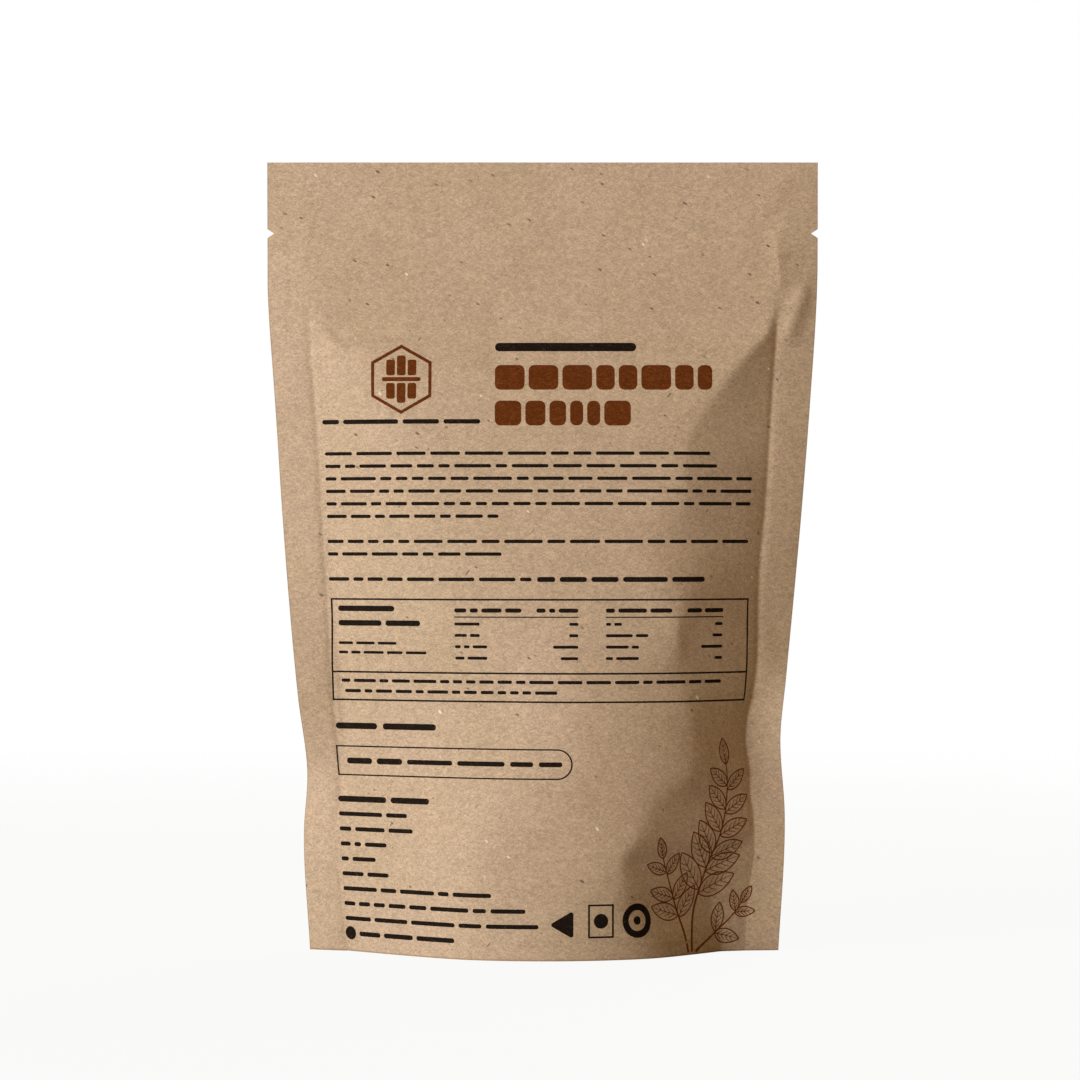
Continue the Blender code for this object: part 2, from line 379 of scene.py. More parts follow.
class PouchForm:
    """Where the two papers of the filled pouch lie. Every method takes arrays in metres."""

    def __init__(self, sizes):
        self.sizes = sizes
        draw = random.Random(sizes.seed)
        self.waves = []
        for _ in range(RIPPLES):
            turn = draw.uniform(0.0, math.pi)
            length = draw.uniform(RIPPLE_SHORT, RIPPLE_LONG) * MM
            phase = draw.uniform(0.0, math.tau)
            self.waves.append((math.cos(turn), math.sin(turn), length, phase))

    def half_width(self, side, z):
        """Distance from the middle to the cut edge."""
        table = LEFT_SIDE if side < 0 else RIGHT_SIDE
        return np.minimum(CAD_BOX[1].x, stations(table, z) * MM)

    def seal_line(self, side, z):
        """Distance from the middle to the inner edge of the side seal."""
        return self.half_width(side, z) - stations(LEFT_SEAL if side < 0 else RIGHT_SEAL, z) * MM

    def notch(self, z):
        """How far the tear notch cuts in at this height."""
        off = np.abs(z - self.sizes.height + self.sizes.notch_drop)
        return self.sizes.notch_depth * np.clip(1.0 - 2.0 * off / self.sizes.notch_height, 0.0, 1.0)

    def centre_depth(self, z):
        """Half-depth on the middle line: a wedge that fades into the head."""
        return (self.sizes.base_depth / 2.0 - self.sizes.ply) * stations(CENTRE, z)

    def flank_depth(self, side, x, z, flank):
        """Half-depth as one flank alone would give it."""
        seal = self.seal_line(side, z)
        edge = seal - stations(flank.tuck, z) * MM
        room = edge - side * x
        beside = np.exp(-np.maximum(room, 0.0) / (BELLY_REACH * MM))
        wall = stations(flank.slope, z) * (room + stations(flank.belly, z) * room * beside)
        fall = np.minimum(1.0, np.abs(x / edge) ** stations(flank.arch, z))
        face = self.centre_depth(z) * (1.0 - stations(flank.crown, z) * fall)
        body = soft_lower(face, wall, stations(flank.rounding, z) * MM)
        past = wall - face
        off = np.where(past > 0.0, past / (RIDGE_FACE * MM), -past / (RIDGE_WALL * MM))
        lift = flank.ridge * MM * smooth((z / MM - RIDGE_LOW) / RIDGE_RISE) * self.pressed(z)
        near = np.clip(seal - side * x, 0.0, CORNER_REACH * MM)
        corner = stations(flank.corner, z) * near
        return soft_upper(body + lift * np.exp(-off), corner, CORNER_ROUND * MM)

    def pressed(self, z):
        """1 where ridges and grooves are complete, 0 in the head."""
        return smooth((PRESSED_HIGH - z / MM) / PRESSED_FADE)

    def bulge(self, x, z, flanks):
        """Half-depth of one paper over the middle plane."""
        share = smooth(x / (SIDE_BLEND * MM) + 0.5)
        left = self.flank_depth(-1, x, z, flanks[0])
        right = self.flank_depth(1, x, z, flanks[1])
        return left + (right - left) * share

    def middle(self, x, z):
        """Where the two side seals lie: they lean back, with a groove along their inner edge."""
        left = stations(LEFT_LEAN, z) * self.seal_share(-1, x, z) ** LEAN_POWER
        right = stations(RIGHT_LEAN, z) * self.seal_share(1, x, z) ** LEAN_POWER
        inner = np.where(x < 0.0, self.seal_line(-1, z), self.seal_line(1, z))
        off = (np.abs(x) - inner) / self.sizes.groove_width
        groove = self.sizes.groove * np.exp(-off * off) * self.pressed(z)
        groove *= smooth((z / MM - GROOVE_LOW) / GROOVE_RISE)
        return (left + right) * MM + groove

    def seal_share(self, side, x, z):
        """0 at the seal's inner edge, 1 at the cut edge."""
        inner = self.seal_line(side, z)
        return np.maximum(0.0, side * x - inner) / (self.half_width(side, z) - inner)

    def folds(self, x, z, folds):
        """Height of the named folds over the smooth form."""
        total = np.zeros_like(x)
        for fold in folds:
            (x0, z0), (x1, z1) = fold.start, fold.end
            run, rise = (x1 - x0) * MM, (z1 - z0) * MM
            length = math.hypot(run, rise)
            along = ((x - x0 * MM) * run + (z - z0 * MM) * rise) / length ** 2
            off = ((x - x0 * MM) * rise - (z - z0 * MM) * run) / length
            reach = np.where(off > 0.0, fold.left, fold.right) * MM
            side = np.clip(1.0 - np.abs(off) / reach, 0.0, 1.0)
            ends = smooth(along / fold.fade_in) * smooth((1.0 - along) / fold.fade_out)
            total += fold.height * MM * side ** 2 * ends
        return total

    def ripples(self, x, z):
        """Faint waves all over the paper."""
        total = np.zeros_like(x)
        for across, up, length, phase in self.waves:
            wave = np.sin(math.tau * (across * x + up * z) / length + phase)
            total += RIPPLE_SHARE * length * wave
        return total * smooth(z / (RIPPLE_RISE * MM))

    def front(self, x, z):
        """y of the printed paper's outer face."""
        proud = self.bulge(x, z, FRONT) + self.folds(x, z, FRONT_FOLDS)
        return self.middle(x, z) + self.ripples(x, z) - self.sizes.ply - proud

    def back(self, x, z):
        """y of the plain paper's outer face: its waves are its own where it stands apart."""
        bulge = self.bulge(x, z, BACK)
        proud = bulge + self.folds(-x, z, BACK_FOLDS)
        own = smooth(bulge / (BACK_MEETS * MM))
        waves = self.ripples(x, z) * (1.0 - own) - self.ripples(-x, z) * own
        return self.middle(x, z) + waves + self.sizes.ply + np.maximum(proud, 0.0)


# ---- materials ----

class Shade:
    """One output socket of a material's nodes. Arithmetic on it adds Math nodes."""

    def __init__(self, tree, socket):
        self.tree = tree
        self.socket = socket

    def node(self, kind, settings=None, inputs=None, output=0):
        """Adds a node: its settings first, then the values or links of its sockets."""
        made = self.tree.nodes.new(kind)
        for name, value in (settings or {}).items():
            setattr(made, name, value)
        for name, value in (inputs or {}).items():
            if isinstance(value, Shade):
                self.tree.links.new(value.socket, made.inputs[name])
            else:
                made.inputs[name].default_value = value
        return Shade(self.tree, made.outputs[output])

    def math(self, operation, *values):
        return self.node('ShaderNodeMath', {'operation': operation}, dict(enumerate(values)))

    def other(self, name):
        """Another output of the node that this socket belongs to."""
        return Shade(self.tree, self.socket.node.outputs[name])

    def __add__(self, other):
        return self.math('ADD', self, other)

    def __sub__(self, other):
        return self.math('SUBTRACT', self, other)

    def __rsub__(self, other):
        return self.math('SUBTRACT', other, self)

    def __mul__(self, other):
        return self.math('MULTIPLY', self, other)

    __radd__ = __add__
    __rmul__ = __mul__

    def laid(self, size, turn=0.0, shift=0.0):
        """Coordinates turned about Y and measured in grains of this size."""
        return self.node('ShaderNodeMapping', {'vector_type': 'TEXTURE'}, {
            'Vector': self, 'Location': (shift, shift, shift),
            'Rotation': (0.0, turn, 0.0), 'Scale': size})

    def noise(self, detail=2.0, roughness=0.5):
        return self.node('ShaderNodeTexNoise', {'noise_dimensions': '3D'}, {
            'Vector': self, 'Scale': 1.0, 'Detail': detail, 'Roughness': roughness})

    def between(self, low, high):
        """0 below low, 1 above high and smooth between."""
        return self.node('ShaderNodeMapRange', {'interpolation_type': 'SMOOTHSTEP'}, {
            'Value': self, 'From Min': low, 'From Max': high})

    def scaled(self, factor):
        """A colour made lighter or darker."""
        return self.node('ShaderNodeVectorMath', {'operation': 'SCALE'}, {0: self, 'Scale': factor})

    def mixed(self, other, share):
        """This colour with a share of another."""
        return self.node(
            'ShaderNodeMix', {'data_type': 'RGBA'}, {0: share, 6: self, 7: other}, output=2)


def new_material(name, roughness, ior_level):
    """A material with its shader, and its Object coordinates as the place to start from."""
    material = bpy.data.materials.new(name)
    material.use_nodes = True
    tree = material.node_tree
    shader = tree.nodes["Principled BSDF"]
    shader.inputs["Roughness"].default_value = roughness
    shader.inputs["Specular IOR Level"].default_value = ior_level
    start = tree.nodes.new('ShaderNodeTexCoord')
    return material, shader, Shade(tree, start.outputs['Object'])


def finish_material(place, shader, colour, height, depth):
    """Links the colour and the bump to the shader."""
    bump = place.node('ShaderNodeBump', None, {
        'Strength': 1.0, 'Distance': depth, 'Height': height})
    place.tree.links.new(colour.socket, shader.inputs['Base Color'])
    place.tree.links.new(bump.socket, shader.inputs['Normal'])


# grains of the paper's patterns, in metres along x, y and z
FINE_GRAIN = (0.00042, 0.00042, 0.00036)
FIBRE_LIGHT = (0.0034, 0.0016, 0.0008)
FIBRE_DARK = (0.0030, 0.0016, 0.0008)
MOTTLE = (0.0060, 0.0045, 0.0040)
CLOUD = (0.030, 0.030, 0.030)

# weights of those patterns in the paper's lightness
LIGHTNESS = 0.915
FINE_WEIGHT = 0.75
FIBRE_WEIGHT = 0.14
CROSS_WEIGHT = 0.10
MOTTLE_WEIGHT = 0.17
CLOUD_WEIGHT = 0.10

# specks and fibres
FIBRE_WIDTH = 0.085
SPECK_EDGE = 0.15  # softness of a speck's edge, as a share of its radius
FAINTEST = 0.35  # strength of the weakest speck
SMALLEST = 0.25  # radius of the smallest one, as a share of the largest
SHIVE_SHARE = 0.9
HAIR_SHARE = 0.75
LINT_SHARE = 0.9
EDGE_AND_SHADE_SHARE = 0.55  # how strongly the cut edges, and the painted shade along the foot, darken
MOTTLE_RELIEF = 0.4
PAPER_RELIEF = 0.00006
INK_RELIEF = 0.00004
INK_GRAIN = 1.3  # how much the ink shows the paper's grain
INK_BARE = 0.07  # how much paper shows where the grain is highest


def threads(place, size, turn, shift):
    """Thin wavering lines between blotches: 1 on the lines, 0 away from them."""
    blotch = place.laid(size, turn, shift).noise(detail=1.0, roughness=0.4)
    return 1.0 - blotch.math('ABSOLUTE', blotch - 0.5).between(0.0, FIBRE_WIDTH)


def grain_of(place):
    """Fine grain and fibres of the sheet, about 0 on average."""
    fine = place.laid(FINE_GRAIN, turn=0.3).noise(detail=1.0, roughness=0.9)
    light = threads(place, FIBRE_LIGHT, turn=0.25, shift=0.011)
    cross = threads(place, FIBRE_DARK, turn=1.10, shift=0.083)
    dark = threads(place, FIBRE_DARK, turn=-0.5, shift=0.047)
    fibres = FIBRE_WEIGHT * (light - dark)
    return FINE_WEIGHT * (fine - 0.5) + fibres + CROSS_WEIGHT * (cross - 0.25)


def specks(place, size, radius, share, shift, turn):
    """Scattered chips, each of its own strength and reach, and 0 outside them."""
    cells = place.laid(size, turn, shift)
    settings = {'voronoi_dimensions': '3D', 'feature': 'F1'}
    distance = cells.node('ShaderNodeTexVoronoi', settings, {'Vector': cells, 'Scale': 1.0})
    pick = cells.node('ShaderNodeSeparateColor', None, {'Color': distance.other('Color')})
    strength = FAINTEST + (1.0 - FAINTEST) * pick.other('Blue')
    green = pick.other('Green')
    reach = radius * (SMALLEST + (1.0 - SMALLEST) * green * green)
    inside = (reach - distance).between(-SPECK_EDGE * radius, SPECK_EDGE * radius)
    return pick.math('LESS_THAN', pick, share) * inside * strength


def plain(place, value):
    """A colour to start from."""
    base = place.node('ShaderNodeRGB')
    base.socket.default_value = value
    return base


def kraft_paper(colours):
    """Brown kraft paper: clouds, grain, fibres, dark shives, a little pale lint, darker cut edges
    and painted shade along the foot.
    """
    material, shader, place = new_material("kraft_paper", roughness=0.80, ior_level=0.20)
    cloud = place.laid(CLOUD).noise(detail=3.0)
    mottle = place.laid(MOTTLE).noise(detail=3.0, roughness=0.65)
    grain = grain_of(place)
    patches = MOTTLE_WEIGHT * (mottle - 0.5)
    tone = LIGHTNESS - CLOUD_WEIGHT * (cloud - 0.5) + patches + grain
    base = plain(place, colours.kraft)
    colour = base.mixed(colours.kraft_ochre, cloud.between(0.25, 0.75)).scaled(tone)
    shives = specks(
        place, size=(0.0066, 0.0044, 0.0032), radius=0.115, share=0.95, shift=0.0, turn=0.5)
    hairs = specks(
        place, size=(0.0110, 0.0060, 0.0028), radius=0.100, share=0.80, shift=0.7, turn=-0.9)
    lint = specks(
        place, size=(0.0090, 0.0060, 0.0050), radius=0.080, share=0.60, shift=0.3, turn=0.9)
    dark = shives.math('MAXIMUM', SHIVE_SHARE * shives, HAIR_SHARE * hairs)
    colour = colour.mixed(colours.shive, dark).mixed(colours.lint, LINT_SHARE * lint)
    rim = place.node('ShaderNodeAttribute', {'attribute_name': "cut_edge"}, None, 'Fac')
    # painted shade: the paper's lowest half-millimetre, where the pouch stands on the floor, takes
    # the edge colour as a dark contact line
    height = place.node('ShaderNodeSeparateXYZ', None, {'Vector': place}, 'Z')
    foot = 1.0 - height.between(0.0002, 0.0007)
    colour = colour.mixed(colours.edge, EDGE_AND_SHADE_SHARE * rim.math('MAXIMUM', rim, foot))
    finish_material(place, shader, colour, grain + MOTTLE_RELIEF * mottle, PAPER_RELIEF)
    return material


def ink(name):
    """Printing ink on kraft, made once: the paper's grain shows through a little."""
    found = bpy.data.materials.get(name)
    if found:
        return found
    colours = bpy.context.scene.kraft_colours
    material, shader, place = new_material(name, roughness=0.80, ior_level=0.04)
    grain = grain_of(place)
    base = plain(place, getattr(colours, name))
    bare = grain.between(0.10, 0.35) * INK_BARE
    colour = base.scaled(1.0 + INK_GRAIN * grain).mixed(colours.kraft, bare)
    finish_material(place, shader, colour, grain, INK_RELIEF)
    return material


WHITE = (1.0, 1.0, 1.0, 1.0)
FLOOR_COLOUR = (0.42, 0.40, 0.37, 1.0)
FLOOR_GLOW = 0.93  # share of plain white in the floor as the camera sees it
FLOOR_NEAR = 0.35  # from this radius the floor fades into the room
FLOOR_FAR = 1.2  # and at this one it is gone
FLOOR_RADIUS = 4.0
KEY_TINT = (0.94, 1.01, 1.095)
BACK_PLACE = (0.7, 1.1, 0.7)  # the back light, from the pouch's middle
SENSOR_WIDTH = 36.0


def stage_floor():
    """Pale floor that fades into the white room."""
    material, shader, place = new_material("stage_floor", roughness=0.9, ior_level=0.1)
    tree = material.node_tree
    shader.inputs["Base Color"].default_value = FLOOR_COLOUR
    output = tree.nodes["Material Output"]
    to_camera = place.node('ShaderNodeLightPath')
    glow = place.node('ShaderNodeEmission', None, {'Color': WHITE})
    lit = place.node('ShaderNodeMixShader', None, {
        0: FLOOR_GLOW * to_camera, 1: Shade(tree, shader.outputs[0]), 2: glow})
    radius = place.node('ShaderNodeVectorMath', {'operation': 'LENGTH'}, {0: place}, 'Value')
    clear = place.node('ShaderNodeBsdfTransparent')
    faded = place.node('ShaderNodeMixShader', None, {
        0: radius.between(FLOOR_NEAR, FLOOR_FAR) * to_camera, 1: lit, 2: clear})
    tree.links.new(faded.socket, output.inputs['Surface'])
    return material


# ---- making and placing pieces ----

def add_piece(name, bm, material):
    """Makes a finished mesh an object of the scene."""
    mesh = bpy.data.meshes.new(name)
    bm.to_mesh(mesh)
    bm.free()
    mesh.materials.append(material)
    piece = bpy.data.objects.new(name, mesh)
    bpy.context.scene.collection.objects.link(piece)
    return piece


def box_grid(*parts):
    """Cube from -1 to 1 whose faces are divided into so many parts along X, Y and Z."""
    bm = bmesh.new()
    bmesh.ops.create_cube(bm, size=2.0)
    for axis, count in enumerate(parts):
        along = [
            edge for edge in bm.edges
            if abs(edge.verts[0].co[axis] - edge.verts[1].co[axis]) > 1.0
        ]
        if count > 1:
            bmesh.ops.subdivide_edges(bm, edges=along, cuts=count - 1, use_grid_fill=True)
    return bm


def gusset_height(sizes, share_x, share_y):
    """Underside of the gusset: on the floor in the middle, raised at rim and ends."""
    rim = (sizes.skirt_height + GUSSET_SAG) * np.abs(share_y) ** GUSSET_BOW - GUSSET_SAG
    end = np.maximum(0.0, np.abs(share_x) - TENT_START) / (TENT_END - TENT_START)
    tent = sizes.gusset_tent * end ** TENT_POWER * (1.0 - TENT_ROUND * share_y ** 2)
    crease = CREASE * np.exp(-np.abs(share_y) / CREASE_REACH)
    return np.maximum(0.0, rim + tent + crease)


def crowded(form, side, z, out, film):
    """x of a column, with the columns closer together along the side seal."""
    inner = form.seal_line(side, z)
    edge = form.half_width(side, z) - form.notch(z)
    share = np.minimum(1.0, out / film)
    share += CROWDING * np.sin(math.pi * share) / math.pi
    past = np.maximum(0.0, out - film) / (1.0 - film)
    past -= CROWDING * np.sin(math.tau * past) / math.tau
    return side * np.where(out <= film, inner * share, inner + (edge - inner) * past)


def paper_mesh(sizes, form):
    """Both papers, the cut edges and the gusset as one closed skin."""
    columns = sizes.film_columns + 2 * sizes.seal_columns
    bm = box_grid(columns, 1, sizes.rows)
    film = sizes.film_columns / columns
    across_foot = [
        edge for edge in bm.edges
        if abs(edge.verts[0].co.y - edge.verts[1].co.y) > 1.0
        and all(vert.co.z < BOX_SLACK - 1.0 for vert in edge.verts)
        and all(abs(vert.co.x) < TENT_END * film for vert in edge.verts)
    ]
    bmesh.ops.subdivide_edges(bm, edges=across_foot, cuts=GUSSET_PARTS - 1, use_grid_fill=True)
    mesh = bpy.data.meshes.new("pouch_paper")
    bm.to_mesh(mesh)
    bm.free()

    grid = np.empty(len(mesh.vertices) * 3)
    mesh.vertices.foreach_get("co", grid)
    u, w, t = grid.reshape(-1, 3).T
    z = row_height(sizes, t)
    left, right = (crowded(form, side, z, np.abs(u), film) for side in (-1, 1))
    x = np.where(u < 0.0, left, right)

    front, back = form.front(x, z), form.back(x, z)
    y = np.where(w < 0.0, front, back)
    under = np.abs(w) < 1.0 - BOX_SLACK
    rim = np.where(w < 0.0, front + sizes.skirt, back - sizes.skirt)
    share_y = np.clip(w / GUSSET_SHARE, -1.0, 1.0)
    height = gusset_height(sizes, u / film, share_y)
    y = np.where(under, np.abs(share_y) * rim, y)
    z = np.where(under & (np.abs(w) <= GUSSET_SHARE + BOX_SLACK), height, z)
    mesh.vertices.foreach_set("co", np.column_stack((x, y, z)).ravel())
    mesh.update()
    cut = mesh.attributes.new("cut_edge", 'FLOAT', 'POINT')
    cut.data.foreach_set("value", (np.abs(u) > 1.0 - BOX_SLACK).astype(np.float32))
    return mesh


def row_height(sizes, t):
    """Height of a grid row, with the rows closer together over the tear notches."""
    notch = sizes.height - sizes.notch_drop
    reach = sizes.notch_height
    plain = sizes.rows - sizes.notch_rows
    below = round(plain * (notch - reach) / (sizes.height - 2.0 * reach))
    rows = (0, below, below + sizes.notch_rows, sizes.rows)
    heights = (0.0, notch - reach, notch + reach, sizes.height)
    return np.interp((t + 1.0) / 2.0 * sizes.rows, rows, heights)


# ---- the print ----

def round_corners(bm, verts, radius):
    """Rounds the corners of a flat shape."""
    bmesh.ops.bevel(
        bm, geom=verts, affect='VERTICES', segments=4, profile=0.5, material=-1,
        offset=radius * MM)


def bar(bm, left, right, level, height, radius=None):
    """Plain bar with rounded ends, in millimetres along the flat paper."""
    size = Matrix.Diagonal(((right - left) * MM, height * MM, 1.0, 1.0))
    place = Matrix.Translation(((left + right) / 2.0 * MM, level * MM, 0.0))
    made = bmesh.ops.create_grid(bm, x_segments=1, y_segments=1, size=0.5, matrix=place @ size)
    round_corners(bm, made['verts'], radius or BAR_ROUND * height)


def disc(bm, x, z, radius, corners=20, turn=0.0, rounding=0.0):
    """Plain disc, or a polygon with rounded corners."""
    turned = Matrix.Rotation(math.radians(turn), 4, 'Z')
    place = Matrix.Translation((x * MM, z * MM, 0.0)) @ turned
    made = bmesh.ops.create_circle(
        bm, cap_ends=True, radius=radius * MM, segments=corners, matrix=place)
    if rounding:
        round_corners(bm, made['verts'], rounding)


def arc(x, z, radius, degrees):
    """Points on a circle at these angles from its right."""
    turns = [math.radians(angle) for angle in degrees]
    return [(x + radius * math.cos(turn), z + radius * math.sin(turn)) for turn in turns]


def stroke(bm, path, width, closed=False, taper=1.0):
    """Line of this width along a path: one edge, extruded from point to point."""
    points = [Vector(point) * MM for point in path]
    count = len(points)
    first = edge = left = None
    for i, point in enumerate(points):
        if closed:
            before, after = points[i - 1], points[(i + 1) % count]
        else:
            before, after = points[max(i - 1, 0)], points[min(i + 1, count - 1)]
        into = (point - before).normalized() if i or closed else (after - point).normalized()
        out = (after - point).normalized() if i < count - 1 or closed else into
        ahead = (into + out).normalized()
        spread = 1.0 / max(SHARPEST, ahead.dot(into))
        thin = 1.0 + (taper - 1.0) * i / max(1, count - 1)
        half = Vector((-ahead.y, ahead.x)) * width * MM / 2.0 * spread * thin
        if edge is None:
            left = bm.verts.new((*(point + half), 0.0))
            first = edge = bm.edges.new((left, bm.verts.new((*(point - half), 0.0))))
            continue
        made = bmesh.ops.extrude_edge_only(bm, edges=[edge])
        fresh = [item for item in made['geom'] if isinstance(item, bmesh.types.BMVert)]
        edge = next(item for item in made['geom'] if isinstance(item, bmesh.types.BMEdge))
        if not any(link.other_vert(fresh[0]) is left for link in fresh[0].link_edges):
            fresh.reverse()
        left, right = fresh
        left.co = (*(point + half), 0.0)
        right.co = (*(point - half), 0.0)
    if closed:
        bmesh.ops.bridge_loops(bm, edges=[first, edge])


class FlatPaper:
    """Carries marks from the flat sheet to the filled pouch."""

    def __init__(self, form):
        self.heights = np.arange(0.0, form.sizes.height + MM, MM)
        self.across = np.arange(-SHEET_HALF, SHEET_HALF + 0.1, SHEET_STEP) * MM
        x, z = np.meshgrid(self.across, self.heights)
        step = np.hypot(np.diff(x, axis=1), np.diff(form.front(x, z), axis=1))
        run = np.pad(np.cumsum(step, axis=1), ((0, 0), (1, 0)))
        self.run = run - run[:, len(self.across) // 2][:, None]
        self.form = form

    def x_of(self, run, z):
        """x on the pouch of a point this far along the paper from its middle."""
        row = min(int(z / MM), len(self.heights) - 2)
        share = z / MM - row
        low = np.interp(run, self.run[row], self.across)
        high = np.interp(run, self.run[row + 1], self.across)
        return low + (high - low) * share

    def lay(self, bm, sizes):
        """Cuts flat marks so that they can bend, gives them thickness and lays them on."""
        for axis, pitch in ((0, sizes.follow_x), (1, sizes.follow_z)):
            values = [vert.co[axis] for vert in bm.verts]
            normal = Vector((1.0, 0.0, 0.0)) if axis == 0 else Vector((0.0, 1.0, 0.0))
            first, last = math.ceil(min(values) / pitch), math.floor(max(values) / pitch)
            for step in range(first, last + 1):
                bmesh.ops.bisect_plane(
                    bm, geom=[*bm.verts, *bm.edges, *bm.faces], dist=1e-6,
                    plane_co=normal * step * pitch, plane_no=normal)
        bmesh.ops.recalc_face_normals(bm, faces=bm.faces)
        made = bmesh.ops.extrude_face_region(bm, geom=bm.faces[:])
        top = [item for item in made['geom'] if isinstance(item, bmesh.types.BMVert)]
        bmesh.ops.translate(bm, verts=top, vec=(0.0, 0.0, 1.0))
        bmesh.ops.recalc_face_normals(bm, faces=bm.faces)
        places = [(self.x_of(vert.co.x, vert.co.y), vert.co.y) for vert in bm.verts]
        x, z = np.array(places).T
        surface = self.form.front(x, z)
        for index, vert in enumerate(bm.verts):
            level = -sizes.ink_rise if vert.co.z > 0.5 else sizes.ink_sink
            vert.co = (x[index], surface[index] + level, z[index])


def spread_out(draw, left, right, lengths, gap):
    """Draws uneven lengths until they fill the space, and stretches them to fit it."""
    drawn = []
    while sum(drawn) + gap * max(0, len(drawn) - 1) < right - left:
        drawn.append(draw.choice(lengths))
    stretch = (right - left - gap * (len(drawn) - 1)) / sum(drawn)
    start = left
    for length in drawn:
        yield start, start + length * stretch
        start += length * stretch + gap


def word_line(bm, draw, left, right, level, height, length=7.0, gap=1.3):
    """A line of word bars of uneven length that fills the space from left to right."""
    lengths = [length * share for share in WORD_SHARES]
    for start, end in spread_out(draw, left, right, lengths, gap):
        bar(bm, start, end, level, height)


def block_line(bm, draw, left, right, low, high):
    """A heavy line of plain rounded blocks of uneven length."""
    for start, end in spread_out(draw, left, right, BLOCK_LENGTHS, BLOCK_GAP):
        bar(bm, start, end, (low + high) / 2.0, high - low, BLOCK_ROUND)


def word_lines(bm, draw, *rows):
    """Lines of word bars, each row with the numbers that word_line takes."""
    for row in rows:
        word_line(bm, draw, *row)


def paragraph(bm, draw, ends, top, pitch, height, length=7.0):
    """Lines of word bars from the text's left edge to each of the ends."""
    for number, right in enumerate(ends):
        word_line(bm, draw, TEXT_LEFT, right, top - number * pitch, height, length)


def lay_marks(name, draw_marks, ink_name):
    """One printed piece: draws its marks flat and lays them on the paper."""
    scene = bpy.context.scene
    bm = bmesh.new()
    draw_marks(bm, random.Random(scene.kraft_print.seed))
    FlatPaper(PouchForm(scene.kraft_sizes)).lay(bm, scene.kraft_print)
    piece = add_piece(name, bm, ink(ink_name))
    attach(piece, "root")


class KRAFT_OT_paper(bpy.types.Operator):
    """Build the filled pouch's paper skin with its gusset, seals, notches and folds"""
    bl_idname = "kraft_pouch.paper"
    bl_label = "Pouch Paper"

    def execute(self, context):
        sizes = context.scene.kraft_sizes
        mesh = paper_mesh(sizes, PouchForm(sizes))
        mesh.materials.append(kraft_paper(context.scene.kraft_colours))
        mesh.shade_smooth()
        mesh.set_sharp_from_angle(angle=math.radians(50.0))
        piece = bpy.data.objects.new("pouch_paper", mesh)
        context.scene.collection.objects.link(piece)
        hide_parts(NODE)
        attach(piece, "root")
        return {'FINISHED'}


class KRAFT_OT_title(bpy.types.Operator):
    """Print the title as a thin black line over two heavy brown lines of plain blocks"""
    bl_idname = "kraft_pouch.title"
    bl_label = "Title Blocks"

    def execute(self, context):
        def heavy(bm, draw):
            block_line(bm, draw, TITLE_LEFT, 49.0, 162.7, 169.9)
            block_line(bm, draw, TITLE_LEFT, 25.4, 152.3, 159.5)

        def thin(bm, draw):
            bar(bm, TITLE_LEFT, 27.1, 175.2, 2.5)

        lay_marks("title_heavy", heavy, "brown_ink")
        lay_marks("title_thin", thin, "black_ink")
        return {'FINISHED'}


class KRAFT_OT_text(bpy.types.Operator):
    """Print the lines of text as plain word bars"""
    bl_idname = "kraft_pouch.text"
    bl_label = "Text Bars"

    def execute(self, context):
        def paragraphs(bm, draw):
            ends = (48.8, 51.0, 62.5, 62.4, 62.2, -12.7)
            paragraph(bm, draw, ends, top=144.3, pitch=3.63, height=0.98)
            paragraph(bm, draw, (61.8, -11.8), top=118.9, pitch=3.63, height=0.98)
            word_lines(
                bm, draw, (TEXT_LEFT, -3.2, 108.0, 1.05), (-1.6, 47.7, 108.0, 1.45, 12.0),
                (-65.3, -18.0, 153.5, 1.3, 11.0))

        def address(bm, draw):
            word_lines(
                bm, draw, (-63.8, -32.0, 65.4, 1.8, 14.0, 1.8), (-61.0, -43.0, 55.3, 1.7, 14.0, 1.5),
                (-41.4, 5.6, 55.3, 1.35, 9.0, 1.6), (TEXT_LEFT, -34.4, 44.2, 1.7, 13.0, 1.5))
            ends = (-41.8, -39.9, -48.9, -52.9, -48.6, -14.7, -4.9, -1.2)
            paragraph(bm, draw, ends, top=39.9, pitch=4.33, height=1.2, length=10.0)
            disc(bm, -63.2, 5.3, radius=1.95)
            word_line(bm, draw, -60.0, -26.0, 5.2, 1.35, 12.0)

        lay_marks("text_paragraphs", paragraphs, "black_ink")
        lay_marks("text_address", address, "black_ink")
        return {'FINISHED'}


